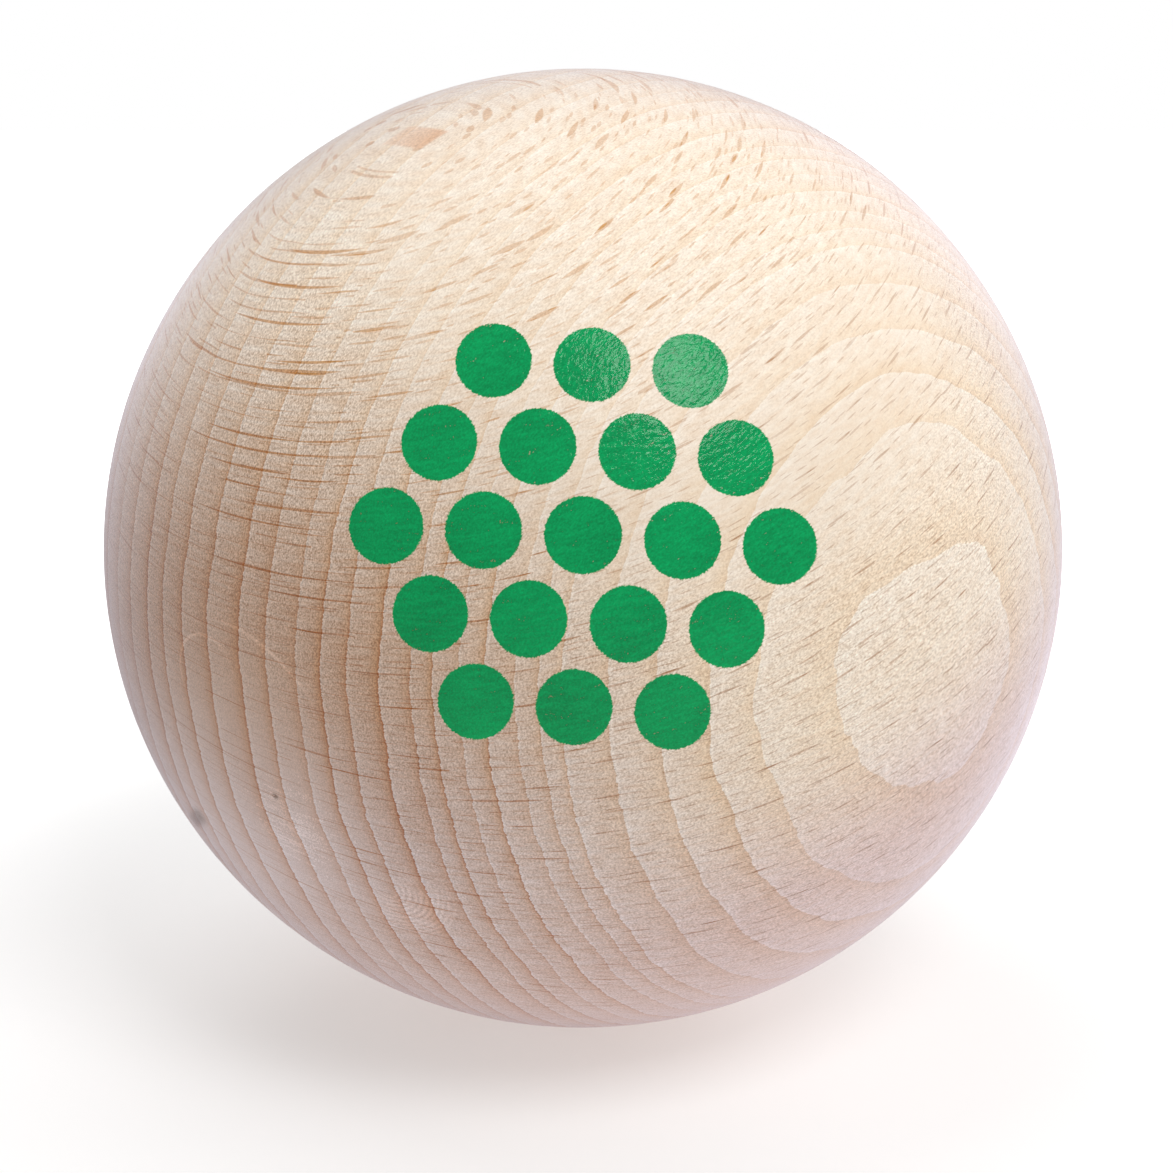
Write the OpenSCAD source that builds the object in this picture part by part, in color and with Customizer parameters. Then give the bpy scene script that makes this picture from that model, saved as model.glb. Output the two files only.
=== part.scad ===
// Turned wooden ball
//
// One piece of solid beech, turned and sanded to a full sphere. It has no bore,
// flat or seam, so the origin is the centre of the ball, +Z is up and the
// printed face looks towards -Y. All sizes are in millimetres.

/* [Ball] */
// Diameter of the finished ball
ball_d = 70; // [20:1:120]

/* [Hidden] */
// Names of the separate pieces
// Piece to draw, or all of them
// Fineness of the round outline in a preview
$fn = 160;
// Pale beech under a clear sanded finish
beech = [0.87, 0.76, 0.65];

// The blank is turned between centres to a half circle, and the two stubs are
// parted off and sanded away, so nothing is left of the lathe but the sphere.
module ball() {
    color(beech)
        sphere(d = ball_d);
}

ball();
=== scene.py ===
# %% [markdown]
# # A turned beech ball with a printed front
#
# This notebook dresses one solid wooden ball. The real one is cut from a single block of beech,
# turned between centres, sanded and printed with green ink. Nothing about its shape is
# complicated, so nearly all of its character is in the wood: growth rings that run right through
# it, thin brown rays that cross them, and pores as fine as a hair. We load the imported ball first,
# because every size below is taken from it.

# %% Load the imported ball
import math

import bpy
import numpy as np
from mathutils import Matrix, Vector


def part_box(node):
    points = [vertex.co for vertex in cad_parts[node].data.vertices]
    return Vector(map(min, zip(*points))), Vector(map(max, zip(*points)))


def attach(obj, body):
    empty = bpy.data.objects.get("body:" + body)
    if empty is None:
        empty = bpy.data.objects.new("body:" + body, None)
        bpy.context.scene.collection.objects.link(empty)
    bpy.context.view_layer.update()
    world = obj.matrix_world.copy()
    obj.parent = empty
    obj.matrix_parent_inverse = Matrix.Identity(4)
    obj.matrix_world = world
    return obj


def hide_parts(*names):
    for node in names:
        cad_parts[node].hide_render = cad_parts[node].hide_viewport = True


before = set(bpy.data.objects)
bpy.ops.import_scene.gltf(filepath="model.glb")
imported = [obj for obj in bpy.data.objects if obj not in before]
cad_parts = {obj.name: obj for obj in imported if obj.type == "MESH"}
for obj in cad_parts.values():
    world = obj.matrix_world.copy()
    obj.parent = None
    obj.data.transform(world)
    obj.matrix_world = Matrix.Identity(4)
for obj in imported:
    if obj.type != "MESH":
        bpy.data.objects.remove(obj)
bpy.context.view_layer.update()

ball_low, ball_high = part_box("ball")
ball_radius = (ball_high.z - ball_low.z) / 2
radius_mm = ball_radius * 1000
print("ball radius in millimetres:", round(radius_mm, 3))

# %% [markdown]
# ## Where the camera stands
#
# The photograph is square and shows the ball almost filling the frame. How the grain closes up
# towards the rim tells how near the camera was: a little under five radii from the centre. From
# that distance and the size of the outline follows the length of the lens. The camera is turned
# a touch instead of shifted, so that other views of the ball stay centred.

# %% The photograph's frame and the camera's place
PHOTO_SIDE = 1173
OUTLINE_CENTRE = (583.1, 549.8)
OUTLINE_RADIUS = 479.3
CAMERA_RADII = 4.7
CAMERA_RISE = math.radians(12)

half_angle = math.asin(1 / CAMERA_RADII)
focal_pixels = OUTLINE_RADIUS / math.tan(half_angle)

view_right = np.array([1, 0, 0])
view_up = np.array([0, math.sin(CAMERA_RISE), math.cos(CAMERA_RISE)])
view_back = np.array([0, -math.cos(CAMERA_RISE), math.sin(CAMERA_RISE)])
print("camera distance in millimetres:", round(CAMERA_RADII * radius_mm, 1))


def seen_axis(right, up, back):
    """Turns a direction given as the camera sees it into the ball's own frame, at unit length.

    It is right times the view's right, plus up times its up, plus back times its back.
    """
    vector = right * view_right + up * view_up + back * view_back
    return vector / np.linalg.norm(vector)


def on_ball(pixel):
    """The point of the ball, in millimetres, that the photograph shows at a pixel.

    A ray leaves the camera through the pixel, and the nearer root of the quadratic for its
    meeting with the unit sphere is the point that is seen.
    """
    u = (pixel[0] - OUTLINE_CENTRE[0]) / focal_pixels
    v = (OUTLINE_CENTRE[1] - pixel[1]) / focal_pixels
    a = u * u + v * v + 1
    root = math.sqrt(CAMERA_RADII**2 - a * (CAMERA_RADII**2 - 1))
    reach = (CAMERA_RADII - root) / a
    return radius_mm * seen_axis(u * reach, v * reach, CAMERA_RADII - reach)


# %% [markdown]
# ## The directions of the wood
#
# A log has three directions: along the grain, outwards from the pith to the bark, and across,
# along the rings. Cutting a ball from the log shows all three. Where the grain meets the surface
# head on we see end grain, where the outward direction does we see wide cathedral loops, and where
# the across direction does we see the broad flakes of the rays. All three poles can be found
# in the photograph, and they fix how the block lay in the lathe.

# %% Directions of the grain in the ball's frame
grain_along = seen_axis(-0.671, -0.560, 0.486)
grain_out = seen_axis(0.676, -0.193, 0.711)
grain_across = np.cross(grain_along, grain_out)
for name, axis in (("along", grain_along), ("out", grain_out), ("across", grain_across)):
    print("grain", name, np.round(axis, 3))

# %% [markdown]
# ## The growth rings
#
# Each year adds a layer that starts pale and ends tan, so a ring has one sharp edge. The widths
# are read off the photograph, from the bark side inwards, and continue the same way where the
# ball hides them. The layers aren't flat: the trunk curves and flares, which a few gentle bends
# describe. The same expression serves the mesh, as numpy arrays, and the shader, as sockets.

# %% Ring widths and the bends of the rings
OUTER_EDGE_MM = 34.0
RING_WIDTHS_MM = [
    2.2, 1.7, 2.2, 2.4, 2.4, 1.2, 1.4, 1.9, 1.7, 1.8, 1.6, 2.4, 2.7, 2.3, 2.3,
    3.0, 2.8, 3.7, 3.3, 2.8, 2.5, 3.2, 2.9, 3.4, 2.6, 3.1, 2.8, 3.3,
]
ring_edges = OUTER_EDGE_MM - np.cumsum([0] + RING_WIDTHS_MM)
print("rings:", len(RING_WIDTHS_MM), "from", ring_edges[0], "to", round(ring_edges[-1], 1))


def ring_depth(along, out, across):
    """Depth in the rings, in millimetres, of a point given in millimetres along the grain's axes.

    It is the outward distance, bent by the trunk's bow along its length, its roundness across,
    and the flare where both meet. It works on arrays and on shader values alike.
    """
    a = along * (1 / radius_mm)
    o = out * (1 / radius_mm)
    c = across * (1 / radius_mm)
    bow = a * a * (o * 0.073 - a * 0.062 - 0.167)
    roundness = c * c * (o * 0.131 - a * 0.053 - c * 0.172 - 0.064)
    lean = a * (o * 0.093 - c * 0.015 - 0.026) + c * (o * 0.018 - a * a * 0.042 - 0.009)
    return out + (bow + roundness + lean) * radius_mm


# %% [markdown]
# ## The bend of the rays
#
# Rays stand at right angles to the rings and run outwards. In this block they lean and sway by a
# few degrees, which shows as dashes that turn slowly over the surface and as threads that curve
# together on the left. The bend is fitted to both.

# %% Place across the rays
def ray_place(along, out, across):
    """Distance across, in millimetres, that stays the same all the way along one ray.

    It is the distance across, bent by products of the three distances as shares of the radius.
    It works on arrays and on shader values alike.
    """
    a = along * (1 / radius_mm)
    o = out * (1 / radius_mm)
    c = across * (1 / radius_mm)
    lean = o * (0.24 - c * 0.26 - o * (o * 0.105 + a * 0.038))
    sway = c * (c * 0.044 + a * 0.047) - a * a * (a * 0.11 + 0.027)
    return across + (lean + sway) * radius_mm


# %% [markdown]
# ## The turned surface
#
# A ball could be a UV sphere, but its two poles pinch the triangles. Six square faces of a cube
# blown up to a sphere keep every quad nearly square. The lathe and the sanding leave it a few
# hundredths of a millimetre from true: hand sanding makes long low waves, and the hard tan wood
# at the end of each ring stands a hair proud of the soft pale wood. That relief is real shape,
# so it is in the mesh.

# %% Build the ball as six blown-up cube faces
FACE_STEPS = 126
SANDING_WAVE_MM = 0.020
RING_RELIEF_MM = 0.010
FACE_FRAMES = (
    ((1, 0, 0), (0, 1, 0), (0, 0, 1)),
    ((-1, 0, 0), (0, -1, 0), (0, 0, 1)),
    ((0, 1, 0), (-1, 0, 0), (0, 0, 1)),
    ((0, -1, 0), (1, 0, 0), (0, 0, 1)),
    ((0, 0, 1), (0, 1, 0), (-1, 0, 0)),
    ((0, 0, -1), (0, 1, 0), (1, 0, 0)),
)


def surface_relief(directions):
    """Height of the surface over a true sphere, in millimetres, for unit directions.

    Sanding waves are the mean of six plane sine waves of 9 to 17 mm in length, and the
    ring relief is the cube of the share of a ring that is already behind the point.
    """
    random = np.random.default_rng(7)
    waves = np.zeros(len(directions))
    for _ in range(6):
        heading = random.normal(size=3)
        heading /= np.linalg.norm(heading)
        length_mm = random.uniform(9, 17)
        phase = random.uniform(0, 2 * math.pi)
        waves += np.sin(directions @ heading * radius_mm * 2 * math.pi / length_mm + phase) / 6
    places = directions * radius_mm
    depth = ring_depth(places @ grain_along, places @ grain_out, places @ grain_across)
    ring = np.interp(depth, ring_edges[::-1], np.arange(len(ring_edges)))
    late = (ring - np.floor(ring)) ** 3
    return SANDING_WAVE_MM * waves + RING_RELIEF_MM * (late - 0.25)


def cube_sphere(steps):
    """Points, quads and map places of a sphere made of six grids of steps by steps squares.

    On a face with normal n and edges s and t, the point at angles a and b is the unit vector
    along n + tan(a) s + tan(b) t, with both angles from -45 to 45 degrees, so that the squares
    cover nearly equal arcs. Points that two faces share are merged. On the map each face has
    a cell of a sheet three cells wide and two high.
    """
    angle = np.linspace(-math.pi / 4, math.pi / 4, steps + 1)
    a, b = np.meshgrid(angle, angle, indexing="ij")
    grid = np.arange((steps + 1) ** 2).reshape(steps + 1, steps + 1)
    quad = np.stack([grid[:-1, :-1], grid[1:, :-1], grid[1:, 1:], grid[:-1, 1:]], -1).reshape(-1, 4)
    gap = 0.004
    points = []
    quads = []
    places = []
    for face, (normal, side, up) in enumerate(np.array(FACE_FRAMES, float)):
        directions = normal + np.tan(a)[..., None] * side + np.tan(b)[..., None] * up
        directions /= np.linalg.norm(directions, axis=-1, keepdims=True)
        points.append(directions.reshape(-1, 3))
        quads.append(quad + face * grid.size)
        column = face % 3
        row = face // 3
        u = (column + gap + (a / (math.pi / 2) + 0.5) * (1 - 2 * gap)) / 3
        v = (row + gap + (b / (math.pi / 2) + 0.5) * (1 - 2 * gap)) / 2
        places.append(np.stack([u, v], -1).reshape(-1, 2)[quad])
    points = np.concatenate(points)
    quads = np.concatenate(quads)
    _, first, shared = np.unique(np.round(points, 6), axis=0, return_index=True, return_inverse=True)
    return points[first], shared.reshape(-1)[quads], np.concatenate(places)


def build_ball():
    """The ball's mesh object, with its relief and a map of even scale for baking."""
    directions, quads, places = cube_sphere(FACE_STEPS)
    radii = radius_mm + surface_relief(directions)
    mesh = bpy.data.meshes.new("beech_ball")
    mesh.from_pydata((directions * radii[:, None] / 1000).tolist(), [], quads.tolist())
    layer = mesh.uv_layers.new(name="OFBake")
    layer.uv.foreach_set("vector", places.reshape(-1).astype(np.float32))
    mesh.shade_smooth()
    mesh.validate()
    piece = bpy.data.objects.new("beech_ball", mesh)
    bpy.context.scene.collection.objects.link(piece)
    print("beech_ball:", len(mesh.vertices), "points,", 2 * len(mesh.polygons), "triangles,")
    print("relief from", round(radii.min() - radius_mm, 4), "to", round(radii.max() - radius_mm, 4), "mm")
    return piece


beech_ball = build_ball()
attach(beech_ball, "root")
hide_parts("ball")

# %% [markdown]
# ## Writing a shader as sums
#
# A node tree reads badly when every link is made by hand. Here a small class wraps one output
# socket, and adding, multiplying or comparing two of them adds the Math node that does so. The
# pattern of the wood can then be written down almost as one would say it.

# %% A socket that can be used in sums
class Value:
    """A number that varies over the surface: one output socket of a node tree."""

    def __init__(self, tree, socket):
        self.tree = tree
        self.socket = socket

    def math(self, operation, *others):
        return self.tree.number("ShaderNodeMath", {"operation": operation}, self, *others)

    def __add__(self, other):
        return self.math("ADD", other)

    def __sub__(self, other):
        return self.math("SUBTRACT", other)

    def __mul__(self, other):
        return self.math("MULTIPLY", other)

    def __truediv__(self, other):
        return self.math("DIVIDE", other)

    def __pow__(self, other):
        return self.math("POWER", other)

    def __neg__(self):
        return self.math("MULTIPLY", -1)

    def __abs__(self):
        return self.math("ABSOLUTE")

    def __rsub__(self, other):
        return self.tree.number("ShaderNodeMath", {"operation": "SUBTRACT"}, other, self)

    __radd__ = __add__
    __rmul__ = __mul__

    def at_most(self, other):
        return self.math("MINIMUM", other)

    def at_least(self, other):
        return self.math("MAXIMUM", other)

    def ramp(self, start, end):
        """0 at start, 1 at end, and smooth between them; start may be the larger."""
        inputs = {"Value": self, "From Min": start, "From Max": end}
        return self.tree.number("ShaderNodeMapRange", {"interpolation_type": "SMOOTHSTEP"}, **inputs)


# %% [markdown]
# The tree itself has one method that makes any node. It takes the node's type, then the settings
# that have to be in place first, then what goes into its sockets, by order or by name.

# %% A node tree with one method for every node
class Tree:
    """A material's or world's node tree."""

    def __init__(self, owner):
        owner.use_nodes = True
        self.nodes = owner.node_tree.nodes
        self.links = owner.node_tree.links
        self.nodes.clear()

    def node(self, kind, settings=None, *inputs, **named):
        """Adds a node. Settings come first; "stops" fills a ramp and "points" a curve."""
        made = self.nodes.new(kind)
        for key, value in (settings or {}).items():
            if key == "stops":
                self.set_stops(made.color_ramp, value)
            elif key == "points":
                self.set_points(made.mapping, value)
            else:
                setattr(made, key, value)
        wanted = list(enumerate(inputs)) + list(named.items())
        for key, value in wanted:
            self.feed(made.inputs[key], value)
        return made

    def number(self, kind, settings=None, *inputs, **named):
        """Adds a node and returns its first output as a value for sums."""
        made = self.node(kind, settings, *inputs, **named)
        return Value(self, next(s for s in made.outputs if s.enabled))

    def feed(self, socket, value):
        if isinstance(value, Value):
            self.links.new(value.socket, socket)
        elif isinstance(value, bpy.types.NodeSocket):
            self.links.new(value, socket)
        else:
            socket.default_value = value

    @staticmethod
    def set_stops(ramp, stops):
        while len(ramp.elements) < len(stops):
            ramp.elements.new(0.5)
        for element, (place, colour) in zip(ramp.elements, stops):
            element.position = place
            element.color = colour

    @staticmethod
    def set_points(mapping, points):
        curve = mapping.curves[0]
        while len(curve.points) < len(points):
            curve.points.new(0.5, 0.5)
        for point, place in zip(curve.points, points):
            point.location = place
            point.handle_type = "VECTOR"
        mapping.update()

    def vector(self, x, y, z):
        return self.node("ShaderNodeCombineXYZ", None, x, y, z).outputs[0]

    def noise(self, place, scale=1.0, detail=1.0, roughness=0.5):
        """Soft random values about 0, mostly between -0.5 and 0.5, with that many per unit."""
        inputs = {"Vector": place, "Scale": scale, "Detail": detail, "Roughness": roughness}
        return self.number("ShaderNodeTexNoise", None, **inputs) - 0.5

    def mix(self, share, first, second, blend="MIX"):
        """One colour blended over another by a share.

        The node has sockets for numbers and vectors too, so the colours are its inputs 6 and 7.
        """
        made = self.node("ShaderNodeMix", {"data_type": "RGBA", "blend_type": blend})
        self.feed(made.inputs[0], share)
        self.feed(made.inputs[6], first)
        self.feed(made.inputs[7], second)
        return made.outputs[2]


def srgb(red, green, blue):
    """A colour as a picture editor gives it, from 0 to 255, as the linear numbers of a shader."""
    coded = np.array([red, green, blue]) / 255
    linear = np.where(coded <= 0.04045, coded / 12.92, ((coded + 0.055) / 1.055) ** 2.4)
    return (*linear.tolist(), 1.0)


# %% [markdown]
# ## Wood that runs right through
#
# A wood texture wrapped round a ball would show a seam, and its rings would not meet. Instead the
# pattern fills space: every point of the surface is first expressed along, out and across the
# grain, and each feature is a solid in that block that the surface cuts through, as in real wood.

# %% Start the wood's tree and find each point's place in the block
wood = bpy.data.materials.new("beech")
tree = Tree(wood)
place = tree.node("ShaderNodeTexCoord").outputs["Object"]


def reach_along(axis):
    """Distance of the shaded point along an axis, in millimetres."""
    scaled = tuple(1000 * float(x) for x in axis)
    made = tree.node("ShaderNodeVectorMath", {"operation": "DOT_PRODUCT"}, place, scaled)
    return Value(tree, made.outputs["Value"])


def from_point(pixel):
    """Distance of the shaded point from the ball's point at a pixel, in millimetres."""
    spot = tuple(float(x) / 1000 for x in on_ball(pixel))
    made = tree.node("ShaderNodeVectorMath", {"operation": "DISTANCE"}, place, spot)
    return Value(tree, made.outputs["Value"]) * 1000


along = reach_along(grain_along)
out = reach_along(grain_out)
across = reach_along(grain_across)

# %% [markdown]
# ## Rays
#
# A ray is a ribbon of cells that stands in the log like a thin lens: a tenth of a millimetre
# or two thick, one or two millimetres tall along the grain and very long outwards. The surface
# cuts it to a dark dash on the loops, to a long thread near the end grain and to a broad flake
# where it lies flat. Seen along the outward direction the rays are a field of upright lenses,
# so a flat Voronoi texture gives each small cell of wood its own centre, and a lens is drawn
# round it. A slow noise lets neighbouring rays weave a little. On the flat side, at the top, where
# the surface runs nearly along the rays, they are plumper than elsewhere.

# %% Lens-shaped rays in cells of wood
slow = tree.vector(along * 0.07, out * 0.05, across * 0.16)
wander = tree.noise(slow, detail=3.0, roughness=0.6)
ray_across = ray_place(along, out, across)
woven = ray_across + wander * 0.7
flat_side = across.ramp(14.0, 30.0) * out.ramp(-12.0, 8.0)


def rays(cell, half_size, run, seed, plumpness):
    """Mask of a field of rays, and the distance across to the nearest one in millimetres.

    Lengths are in millimetres: the cell and the half size along and across the grain, and the
    run outwards after which a ray ends and another starts. With the distances from the cell's
    centre divided by the half sizes, a point is inside while a size drawn for the cell, less
    along squared, is more than across. Plumpness shrinks that distance across on the flat side.
    Four fifths of each run hold the ray.
    """
    flat = tree.vector(along * (1 / cell[0]), woven * (1 / cell[1]) + seed, 0.0)
    settings = {"voronoi_dimensions": "2D"}
    made = tree.node("ShaderNodeTexVoronoi", settings, Vector=flat, Scale=1.0, Randomness=0.85)
    offset = tree.node("ShaderNodeVectorMath", {"operation": "SUBTRACT"}, flat, made.outputs["Position"])
    parts = tree.node("ShaderNodeSeparateXYZ", None, offset.outputs[0]).outputs
    draws = tree.node("ShaderNodeSeparateColor", None, made.outputs["Color"]).outputs
    from_along = Value(tree, parts[0]) * (cell[0] / half_size[0])
    aside = abs(Value(tree, parts[1]))
    size = Value(tree, draws[1]) * 0.7 + 0.5
    thinness = (1 - flat_side * plumpness) * (cell[1] / half_size[1])
    lens = size - from_along * from_along - aside * thinness
    present = (out * (1 / run) + Value(tree, draws[0]) * 7).math("FRACT").math("LESS_THAN", 0.8)
    return lens.ramp(0.0, 0.4) * present * (Value(tree, draws[2]) * 0.4 + 0.6), aside * cell[1]


BROAD_CELL_MM = (2.7, 0.98)
BROAD_HALF_MM = (1.10, 0.060)
BROAD_RUN_MM = 34.0
BROAD_PLUMPNESS = 0.38
SMALL_CELL_MM = (1.25, 0.40)
SMALL_HALF_MM = (0.50, 0.040)
SMALL_RUN_MM = 13.0
SMALL_PLUMPNESS = 0.28

broad_rays, from_ray = rays(BROAD_CELL_MM, BROAD_HALF_MM, BROAD_RUN_MM, 3.7, BROAD_PLUMPNESS)
small_rays, _ = rays(SMALL_CELL_MM, SMALL_HALF_MM, SMALL_RUN_MM, 11.3, SMALL_PLUMPNESS)

# %% [markdown]
# A few rays are so long and bold that the eye knows the ball by them. They are traced: each is
# read off the photograph as the pixels it passes, from its first to its last. A colour ramp
# with hard steps is the list of them. Where a point's place across falls in a ray's band, the
# ramp hands over that ray's own place, middle and length, and one lens is drawn for them all.

# %% Traced rays
TRACED_RAYS = [
    [(249, 276), (285, 284), (354, 287)],
    [(230, 310), (280, 322), (347, 324)],
    [(289, 246), (337, 252), (371, 251)],
    [(202, 365), (270, 385), (360, 388)],
    [(268, 361), (315, 362), (364, 359)],
    [(199, 421), (250, 433), (313, 441)],
    [(177, 421), (262, 450), (368, 456)],
    [(203, 454), (250, 467), (304, 476)],
    [(188, 498), (262, 522), (334, 531)],
    [(196, 548), (281, 574), (370, 582)],
    [(256, 589), (307, 597), (374, 601)],
]
BAND_HALF_MM = 0.35
TRACED_HALF_MM = 0.078

stops = [(0.0, (0, 0, 0, 1))]
for pixels in TRACED_RAYS:
    seen = np.array([on_ball(pixel) for pixel in pixels])
    outs = seen @ grain_out
    middle = float(np.mean(ray_place(seen @ grain_along, outs, seen @ grain_across)))
    half_run = float(outs[-1] - outs[0]) / 2
    out_middle = float(outs[-1] + outs[0]) / 2
    band = (middle / radius_mm, out_middle / radius_mm / 2 + 0.5, half_run / radius_mm, 1)
    stops.append(((middle - BAND_HALF_MM) / radius_mm, band))
    stops.append(((middle + BAND_HALF_MM) / radius_mm, (0, 0, 0, 1)))
stops.sort()
print("traced rays across:", [round(place * radius_mm, 1) for place, band in stops if band[2] > 0])

bands = tree.node("ShaderNodeValToRGB", {"stops": stops}, ray_across * (1 / radius_mm))
bands.color_ramp.interpolation = "CONSTANT"
band = tree.node("ShaderNodeSeparateColor", None, bands.outputs[0]).outputs
aside = abs(ray_across - Value(tree, band[0]) * radius_mm)
way = (out * (1 / radius_mm) - Value(tree, band[1]) * 2 + 1) / Value(tree, band[2]).at_least(0.001)
traced = (1 - way * way - aside * (1 / TRACED_HALF_MM)).ramp(0.0, 0.45)
traced = traced * along.math("GREATER_THAN", 0.0)
broad_rays = broad_rays.at_least(traced)

# %% [markdown]
# Where the surface runs flat along a ray, the ray shows as a broad flake with straight ends. The
# largest one lies on the top left of the ball, and below it two thin slivers of rays lie almost
# as flat.

# %% The large flake and two slivers
FLAKE_PIXEL = (415, 138)
FLAKE_HALF_ALONG_MM = 1.00
FLAKE_HALF_OUT_MM = 1.85
SLIVERS = [((375, 172), 0.04), ((369, 177), 0.08)]
SLIVER_HALF_OUT_MM = 2.1
SLIVER_STRENGTH = 0.55


def flat_ray(pixel, half_along, half_out, soft, bend):
    """Mask of a ray that lies flat in the surface, round the ball's point at a pixel.

    It reaches half_along to both sides along the grain and half_out outwards, in millimetres,
    and fades over the soft width. The bend curves it by that much times outwards squared.
    """
    middle = on_ball(pixel)
    from_along = along - float(middle @ grain_along)
    from_out = out - float(middle @ grain_out)
    aside = abs(from_along + from_out * from_out * bend)
    ahead = abs(from_out + from_along * 0.10)
    mask = aside.ramp(half_along + soft, half_along) * ahead.ramp(half_out + soft, half_out)
    return mask * across.math("GREATER_THAN", 0.0)


flake = flat_ray(FLAKE_PIXEL, FLAKE_HALF_ALONG_MM, FLAKE_HALF_OUT_MM, 0.40, 0.0)
flake_out = float(on_ball(FLAKE_PIXEL) @ grain_out)
flake_tan = flake * ((out - flake_out) * 0.14 + 0.80)
for pixel, half_width in SLIVERS:
    sliver = flat_ray(pixel, half_width, SLIVER_HALF_OUT_MM, 0.10, 0.06)
    broad_rays = broad_rays.at_least(sliver * SLIVER_STRENGTH)

# %% [markdown]
# ## Pores and the finest rays
#
# Between the rays the wood is full of vessels, tubes finer than a hair that run with the grain.
# Cut across they are specks, cut lengthwise they are short scratches. One noise, stretched
# along the grain, makes both. A second, flattened across the grain, gives the ribbing of the
# finest rays, and a third, coarse one lets the colour breathe. On the side that faces outwards
# and across, at the upper right, where the lamps light the ball brightest, everything is made
# fainter: a painted highlight. The pores there are also made shallower.

# %% Pores and ribbing
pores = tree.noise(tree.vector(along * 4.8, out * 9.5, across * 9.5), detail=1.0, roughness=0.6)
ribbing = tree.noise(tree.vector(along * 1.0, out * 0.35, woven * 5.2), detail=0.0)
mottle = tree.noise(tree.vector(along * 0.12, out * 0.30, across * 0.30), detail=0.0)
# The upper right side, where the light falls brightest; its texture is faded as a painted highlight.
brightly_lit_side = (out * 0.6 + across * 0.8).ramp(26.0, 32.0)

# %% [markdown]
# ## Rings
#
# The rings wander. Over a few millimetres they bow to and fro, at each broad ray they step a
# little, and the vessels fray their edge. Two dents in the layers give the innermost loop its
# slanting shoulder. All of it is added to the depth before the ring is looked up on a curve,
# which turns depth into a number of rings.

# %% Ring number, and how far through its ring each point is
RAISED_PIXEL = (915, 430)
SUNK_PIXEL = (918, 530)
DENT_REACH_MM = 7.5
DENT_DEPTH_MM = 0.50

end_grain = (abs(along) * (1 / radius_mm)).ramp(0.30, 0.95)
bow = from_ray * (1 - from_ray)
fray = (bow * 0.42 + ribbing * 0.12 + pores * 0.20) * (end_grain * 0.7 + 0.2)
raised = from_point(RAISED_PIXEL).ramp(DENT_REACH_MM, 1.0)
sunk = from_point(SUNK_PIXEL).ramp(DENT_REACH_MM, 1.0)
dents = (raised - sunk) * DENT_DEPTH_MM
depth = ring_depth(along, out, across) + wander * 1.2 + fray + dents

deepest = float(ring_edges[-1])
span = OUTER_EDGE_MM - deepest + 3
ring_points = [((edge - deepest) / span, index / len(ring_edges))
               for index, edge in enumerate(ring_edges[::-1])]
ring_points.append((1.0, 1.0))
share_of_depth = (depth - deepest) * (1 / span)
ring = tree.number("ShaderNodeFloatCurve", {"points": ring_points}, 1.0, share_of_depth)
ring = ring * len(ring_edges)
through_ring = ring.math("FRACT")

# %% [markdown]
# Within a ring the wood starts pale, deepens slowly, turns tan over the last third and ends in
# a thin brown line. No two years are alike, so each ring draws its own strength from a random
# number of its own. The rings stand out most where the surface cuts the grain head on, and they
# are calmer where it cuts the rays, at the top. There and on the upper right side the rings are
# also made paler, partly as a painted highlight where the light falls brightest.

# %% Tan latewood
ring_draw = tree.number("ShaderNodeTexWhiteNoise", {"noise_dimensions": "1D"}, W=ring.math("FLOOR"))
# Less tan at the top and on the upper right: partly grain, partly painted highlight.
calm_and_highlight = 1 - across.ramp(14.0, 32.0) * 0.22 - brightly_lit_side * 0.22
ring_strength = (ring_draw * 0.6 + 0.70) * (end_grain * 0.30 + 0.78) * calm_and_highlight
latewood = through_ring.ramp(0.0, 0.8) * 0.36 + through_ring.ramp(0.60, 0.98) * 0.40
ring_tan = (latewood * ring_strength).at_most(1.0)
edge_line = through_ring.ramp(0.90, 0.98) * (end_grain * 0.50 + 0.08) * (ring_draw * 0.8 + 0.4)
early_line = through_ring.ramp(0.14, 0.02) * (end_grain * 0.75 + 0.25)

# %% [markdown]
# ## Wear, and a patch of painted light
#
# The finished ball isn't flawless. A sanding disc left a faint swirl and two long arcs on the
# lower left, the surface is scuffed pale beside a tiny torn spot, a hazy patch lies round them,
# and a dark smudge sits on the left rim. The pale haze is partly real and partly painted light:
# it spreads wide enough to brighten the lower left rim as a lamp would. Each mark is placed by
# its distance from a point of the surface, so it is a solid thing too and no picture is needed.

# %% Swirl, arcs, scuffs, a torn spot, a haze partly of painted light, and a smudge
def swirl(centre, side, inner, outer):
    """Fine arcs round a point, between two radii, that show only near another point."""
    reach = from_point(centre)
    lines = (reach * 16.0 + mottle * 7).math("SINE") * 0.5 + 0.5
    span = reach.ramp(inner - 0.4, inner) * reach.ramp(outer + 0.5, outer)
    return lines * span * from_point(side).ramp(4.2, 1.0)


def scratch(centre, middle):
    """A single arc round one point that passes another, near which alone it shows."""
    radius = float(np.linalg.norm(on_ball(centre) - on_ball(middle)))
    off_line = abs(from_point(centre) - radius + mottle * 0.2)
    return off_line.ramp(0.17, 0.04) * from_point(middle).ramp(5.5, 2.0)


SWIRL = ((385, 888), (414, 912), 1.0, 4.6)
SCRATCHES = [((207, 679), (189, 637)), ((231, 766), (262, 646))]
SCUFF_PIXEL = (290, 828)
TORN_PIXEL = (275, 797)
SMUDGE_PIXEL = (196, 819)
HAZE_AND_LIGHT_PIXEL = (240, 790)
HAZE_AND_LIGHT_REACH_MM = 15.0

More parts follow.
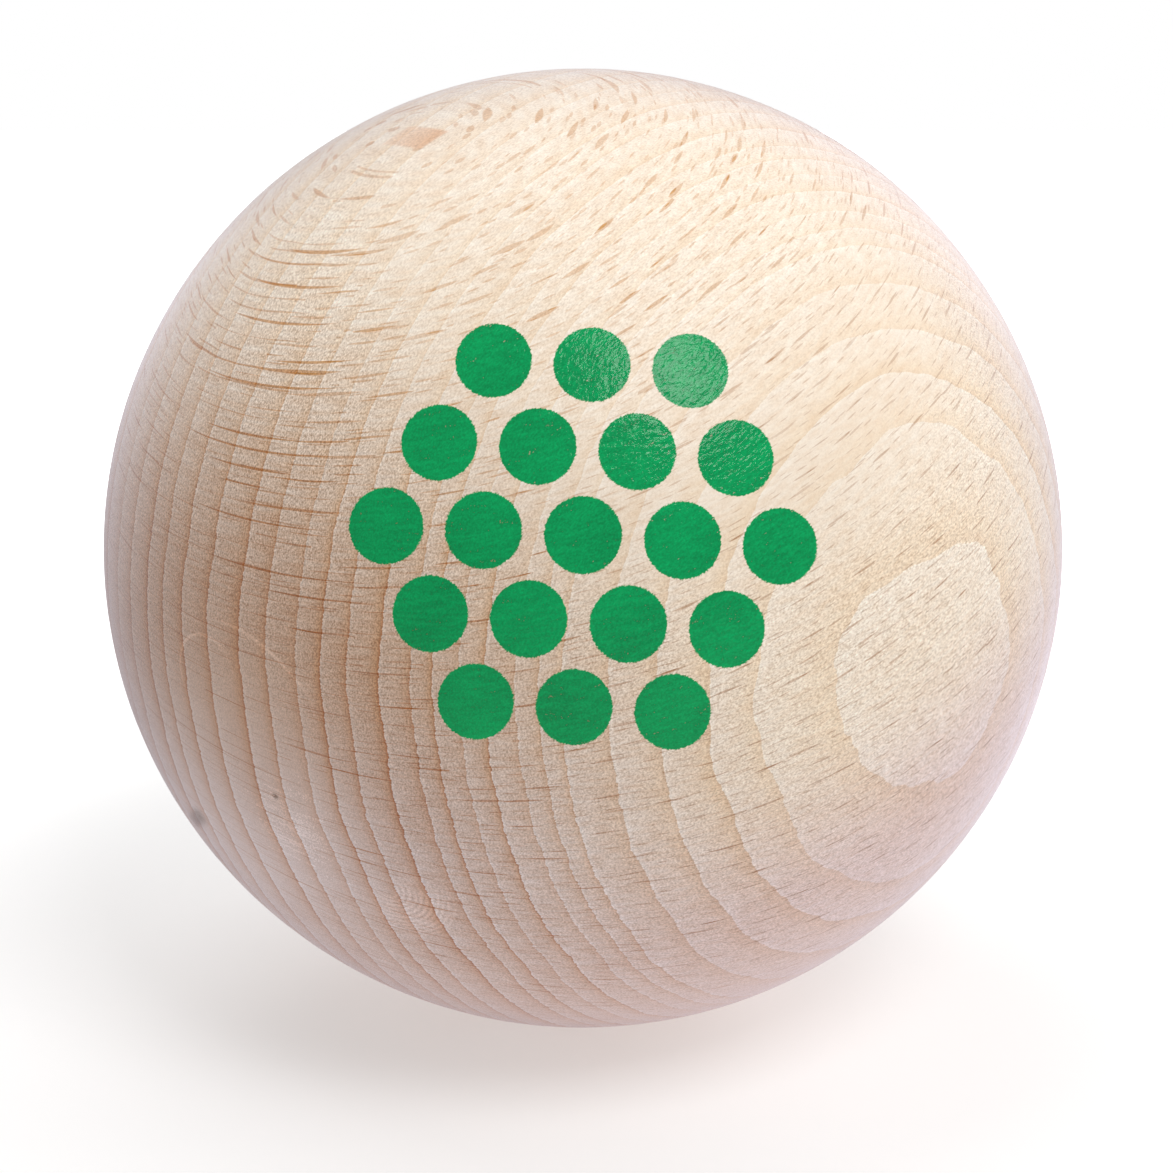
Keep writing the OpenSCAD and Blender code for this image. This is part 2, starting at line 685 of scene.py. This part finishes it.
swirls = swirl(*SWIRL)
for centre, middle in SCRATCHES:
    swirls = swirls + scratch(centre, middle)
scuffs = (pores * 1.4 + ribbing - from_point(SCUFF_PIXEL) * 0.11).ramp(-0.20, 0.05)
torn = (pores * 1.2 - from_point(TORN_PIXEL) * 1.5 + 0.38).ramp(0.0, 0.15)
rim_way = seen_axis(-0.57, 0.82, 0.0)
along_rim = abs(reach_along(rim_way) - float(on_ball(SMUDGE_PIXEL) @ rim_way) + pores * 0.4)
smudge = along_rim.ramp(1.0, 0.1) * from_point(SMUDGE_PIXEL).ramp(3.2, 1.2)
# Pale patch round the scuffs: partly real haze, partly painted light on the lower left rim.
haze_and_painted_light = from_point(HAZE_AND_LIGHT_PIXEL).ramp(HAZE_AND_LIGHT_REACH_MM, 4.0)

# %% [markdown]
# ## Colour of the wood
#
# Steamed beech is a pale cream that turns pinkish tan. End grain drinks in light and looks
# deeper than the sides. Towards the foot of the across direction, the lower part of the ball,
# the side wood is made darker and rosier and the end grain paler and greyer. Rays are a stain
# that multiplies what lies under it, so a ray stays deeper than its surroundings in pale wood
# and in tan: orange brown on most of the ball, yellower in the flecks on the top, and greyer on
# the loops, where only a thin edge of each ray shows.

# %% Blend the wood's colours
PALE_WOOD = srgb(244, 228, 209)
TAN_WOOD = srgb(238, 209, 172)
END_WOOD_TOP = srgb(197, 166, 145)
END_TAN_TOP = srgb(182, 132, 94)
END_WOOD_FOOT = srgb(212, 192, 186)
END_TAN_FOOT = srgb(197, 157, 135)
ROSY_TINT = (0.84, 0.77, 0.90, 1.0)
RAY_STAIN = srgb(204, 144, 74)
FLECK_STAIN = srgb(208, 154, 70)
LOOP_STAIN = srgb(172, 132, 98)
FLAKE_STAIN = srgb(225, 163, 93)

side_colour = tree.mix(ring_tan, PALE_WOOD, TAN_WOOD)
# Side wood is made darker and rosier towards the foot of the across direction, the lower part of the
# ball.
side_colour = tree.mix(across.ramp(3.0, -12.0), side_colour, ROSY_TINT, "MULTIPLY")
# End grain is made paler and greyer towards the same foot.
toward_foot = across.ramp(16.0, -2.0)
end_wood = tree.mix(toward_foot, END_WOOD_TOP, END_WOOD_FOOT)
end_tan = tree.mix(toward_foot, END_TAN_TOP, END_TAN_FOOT)
end_colour = tree.mix(ring_tan, end_wood, end_tan)
colour = tree.mix(end_grain, side_colour, end_colour)
# Rays are made fainter on the brightly lit upper right side, a painted highlight.
ray_strength = (1 - brightly_lit_side * 0.30) * (end_grain * 0.10 + flat_side * 0.12 + 0.72)
ray_share = (broad_rays * 0.90 + small_rays * 0.70 + edge_line) * ray_strength
ray_stain = tree.mix(flat_side, RAY_STAIN, FLECK_STAIN)
ray_stain = tree.mix(out.ramp(18.0, 32.0) * 0.9, ray_stain, LOOP_STAIN)
colour = tree.mix(flake_tan * 0.50, colour, FLAKE_STAIN, "MULTIPLY")
colour = tree.mix((ray_share * (1 - flake)).at_most(0.95), colour, ray_stain, "MULTIPLY")

# %% [markdown]
# ## Specks and bands
#
# Over the colours lies a fine change of tone. Pores, scratches and scuffs are tiny shadows and
# glints, so they are nearly grey. The ribs of the finest rays and the pale start of each ring are
# wood of another colour, so they change the blue most and the red least. Both are summed apart
# and then multiply the colour, channel by channel.

# %% Tone of the specks and of the bands
SWIRL_LIGHT = 0.28
SCUFF_LIGHT = 0.26
HAZE_AND_PAINTED_LIGHT = 0.12
SMUDGE_SHADE = 0.75
TORN_SHADE = 0.8

# The haze and its painted light also wash out the texture beneath them.
clear = 1 - haze_and_painted_light * 0.5
# Specks are made fainter on the brightly lit upper right side, a painted highlight, and on end grain
# towards the foot.
coarseness = end_grain * (0.88 - toward_foot * 0.58) - brightly_lit_side + 1.0
coarseness = coarseness + flat_side * 0.7 + out.ramp(18.0, 32.0) * 0.18
lights = swirls * SWIRL_LIGHT + scuffs * SCUFF_LIGHT + haze_and_painted_light * HAZE_AND_PAINTED_LIGHT
shades = smudge * SMUDGE_SHADE + torn * TORN_SHADE
specks = pores * coarseness * clear + lights - shades + flat_side * 0.02
ribs = ribbing * (end_grain * 0.15 + flat_side * 0.08 + 0.20) * clear * clear
banding = ribs + mottle * 0.06 + early_line * 0.14 + haze_and_painted_light * HAZE_AND_PAINTED_LIGHT
red = specks * 0.85 + banding * 0.5 + 1
green = specks + banding + 1
blue = specks * 1.15 + banding * 1.5 + 1
tone = tree.node("ShaderNodeCombineColor", None, red, green, blue)
colour = tree.mix(1.0, colour, tone.outputs[0], "MULTIPLY")

# %% [markdown]
# ## The print
#
# Ink is pressed on with a soft pad, so it lies flat over rings and rays alike and only skips
# the deepest pores. The design is a plain hexagon of nineteen dots: each point finds its nearest
# row, then the nearest dot of that row, and is inked when it is closer than a dot's radius.

# %% A hexagon of printed dots
PRINT_CENTRE = (583, 535)
PRINT_TILT = math.radians(-3)
DOT_PITCH_MM = 5.9
DOT_RADIUS_MM = 2.3
INK_GREEN = srgb(2, 155, 87)

print_out = on_ball(PRINT_CENTRE) / radius_mm
level = np.cross(view_up, print_out)
level /= np.linalg.norm(level)
rise = np.cross(print_out, level)
print_right = math.cos(PRINT_TILT) * level + math.sin(PRINT_TILT) * rise
print_up = np.cross(print_out, print_right)

right = reach_along(print_right)
up = reach_along(print_up)
row_pitch = DOT_PITCH_MM * math.sqrt(3) / 2
row = (up * (1 / row_pitch)).math("ROUND").at_least(-2).at_most(2)
stagger = abs(row).math("MODULO", 2) * (DOT_PITCH_MM / 2)
row_end = (4 - abs(row)) * (DOT_PITCH_MM / 2)
column = ((right - stagger) * (1 / DOT_PITCH_MM)).math("ROUND") * DOT_PITCH_MM + stagger
column = column.at_most(row_end).at_least(-row_end)
from_dot = ((right - column) ** 2 + (up - row * row_pitch) ** 2) ** 0.5
ink = (from_dot + pores * 0.20).ramp(DOT_RADIUS_MM + 0.04, DOT_RADIUS_MM - 0.04)
ink = ink * reach_along(print_out).math("GREATER_THAN", 0.0)
skips = (pores + ribbing * 0.6).ramp(-0.28, -0.42)
ink = ink * (1 - skips * 0.5)
ink_tone = pores * 0.9 + ribbing * 0.4 + mottle * 0.3 + 1
ink_grey = tree.node("ShaderNodeCombineColor", None, ink_tone, ink_tone, ink_tone).outputs[0]
ink_colour = tree.mix(1.0, INK_GREEN, ink_grey, "MULTIPLY")

# %% [markdown]
# ## Gloss and relief
#
# A light coat of wax leaves the sanded wood satin, with pores a little rougher, and its loose
# fibres catch light at the rim as a pale sheen. The ink is a smooth film without fibres, so it
# is a shader of its own, and the mask of the print chooses between the two. The relief is tiny:
# open pores are sunk by a few hundredths of a millimetre, and the film of ink has dried in soft
# wrinkles of about the same height, which break up its gloss.

# %% Two shaders, wood and ink, and the print's mask between them
PORE_DEPTH = 0.00010
WRINKLE_DEPTH = 0.00009

pore_height = pores * (0.75 - brightly_lit_side * 0.4)
pitted = tree.node("ShaderNodeBump", None, Strength=0.5, Distance=PORE_DEPTH, Height=pore_height)
wrinkles = tree.noise(tree.vector(along * 1.7, out * 3.4, across * 3.4), detail=2.0, roughness=0.6)
wrinkled = tree.node("ShaderNodeBump", None, Strength=0.8, Distance=WRINKLE_DEPTH, Height=wrinkles)
bare = tree.node("ShaderNodeBsdfPrincipled", None, **{
    "Base Color": colour,
    "Roughness": 0.48 - pores * 0.20,
    "Specular IOR Level": 0.25,
    "Sheen Weight": 0.9,
    "Sheen Roughness": 0.35,
    "Sheen Tint": (0.88, 0.83, 0.96, 1.0),
    "Normal": pitted.outputs[0],
})
printed = tree.node("ShaderNodeBsdfPrincipled", None, **{
    "Base Color": ink_colour,
    "Roughness": 0.14 - pores * 0.10,
    "Specular IOR Level": 0.20,
    "Normal": wrinkled.outputs[0],
})
surface = tree.node("ShaderNodeMixShader", None, ink, bare.outputs[0], printed.outputs[0])
tree.node("ShaderNodeOutputMaterial", None, surface.outputs[0])
beech_ball.data.materials.append(wood)
print("nodes in the beech material:", len(tree.nodes))

# %% [markdown]
# ## Floor, room and lamps
#
# The ball rests on a wide pale floor in a white room. The camera sees the room as plain white,
# while the light that the room sheds on the ball stays lower, so that the lamps can shape it.
# The floor does the same: it shines white for the camera, less so near the ball, where the
# shadow is kept. To everything else it only sends back light, with a warm glow close to the ball
# for what would bounce to and fro between paper and wood. The main lamp stands above and in
# front, a little to the right, and three larger and weaker ones above, to the right and behind.

# %% Floor
FLOOR_HALF = 3.0
FLOOR_GAP = 0.00005
floor_mesh = bpy.data.meshes.new("floor")
corners = [(-FLOOR_HALF, -FLOOR_HALF), (FLOOR_HALF, -FLOOR_HALF), (FLOOR_HALF, FLOOR_HALF),
           (-FLOOR_HALF, FLOOR_HALF)]
floor_mesh.from_pydata([(x, y, ball_low.z - FLOOR_GAP) for x, y in corners], [], [(0, 1, 2, 3)])
floor = bpy.data.objects.new("floor", floor_mesh)
bpy.context.scene.collection.objects.link(floor)


def seen_by_camera(owner_tree):
    """1 where the camera itself looks, and 0 for the light that only spreads."""
    return Value(owner_tree, owner_tree.node("ShaderNodeLightPath").outputs["Is Camera Ray"])


paper = bpy.data.materials.new("floor_paper")
sheet = Tree(paper)
floor_place = sheet.node("ShaderNodeTexCoord").outputs["Object"]
reach = sheet.node("ShaderNodeVectorMath", {"operation": "LENGTH"}, floor_place)
from_ball = Value(sheet, reach.outputs["Value"])
seen = seen_by_camera(sheet)
bounce = from_ball.ramp(0.10, 0.03) * 0.45 * (1 - seen)
lift = (from_ball.ramp(0.04, 0.20) * 0.60 + 0.40) * seen + bounce
diffuse = sheet.node("ShaderNodeBsdfDiffuse", None, Color=(0.60, 0.60, 0.60, 1))
glow_colour = sheet.mix(seen, (1.0, 0.91, 0.83, 1), (1, 1, 1, 1))
glow = sheet.node("ShaderNodeEmission", None, Color=glow_colour, Strength=lift)
lit_paper = sheet.node("ShaderNodeAddShader", None, diffuse.outputs[0], glow.outputs[0])
sheet.node("ShaderNodeOutputMaterial", None, lit_paper.outputs[0])
floor_mesh.materials.append(paper)

# %% White room
ROOM_LIGHT = 0.425
room = bpy.data.worlds.new("white_room")
bpy.context.scene.world = room
air = Tree(room)
strength = seen_by_camera(air) * (1 - ROOM_LIGHT) + ROOM_LIGHT
background = air.node("ShaderNodeBackground", None, Color=(1, 1, 1, 1), Strength=strength)
air.node("ShaderNodeOutputWorld", None, background.outputs[0])


# %% Soft lamps
def lamp(name, direction, distance, side, brightness):
    """A square soft lamp that faces the ball from a direction.

    At that distance a white card facing the lamp gets the given brightness, which takes a
    power of brightness times pi squared times the distance squared.
    """
    data = bpy.data.lights.new(name, "AREA")
    data.shape = "SQUARE"
    data.size = side
    data.energy = brightness * math.pi**2 * distance**2
    made = bpy.data.objects.new(name, data)
    bpy.context.scene.collection.objects.link(made)
    made.location = tuple(float(x) * distance for x in direction)
    made.rotation_mode = "QUATERNION"
    made.rotation_quaternion = made.location.to_track_quat("Z", "Y")
    print(name, "at", [round(x, 2) for x in made.location], "power", round(data.energy, 2), "W")


LAMPS = [
    ("key_lamp", (0.30, 0.62, 0.72), 0.60, 0.24, 0.46),
    ("top_lamp", (-0.22, 0.95, 0.00), 0.70, 0.50, 0.29),
    ("side_lamp", (0.92, 0.36, -0.05), 0.70, 0.50, 0.23),
    ("back_lamp", (0.42, 0.40, -0.80), 0.80, 0.35, 0.27),
]
for name, direction, distance, side, brightness in LAMPS:
    lamp(name, seen_axis(*direction), distance, side, brightness)

# %% Camera
aim_down = math.atan((PHOTO_SIDE / 2 - OUTLINE_CENTRE[1]) / focal_pixels)
aim_right = math.atan((PHOTO_SIDE / 2 - OUTLINE_CENTRE[0]) / focal_pixels)
lens = bpy.data.cameras.new("camera")
lens.sensor_width = 36
lens.lens = lens.sensor_width * focal_pixels / PHOTO_SIDE
lens.clip_start = 0.01
camera = bpy.data.objects.new("camera", lens)
bpy.context.scene.collection.objects.link(camera)
camera.location = tuple(view_back * CAMERA_RADII * ball_radius)
camera.rotation_euler = (math.pi / 2 - CAMERA_RISE - aim_down, 0, -aim_right)
bpy.context.scene.camera = camera
bpy.context.scene.view_settings.view_transform = "Standard"
print("lens in millimetres:", round(lens.lens, 1))
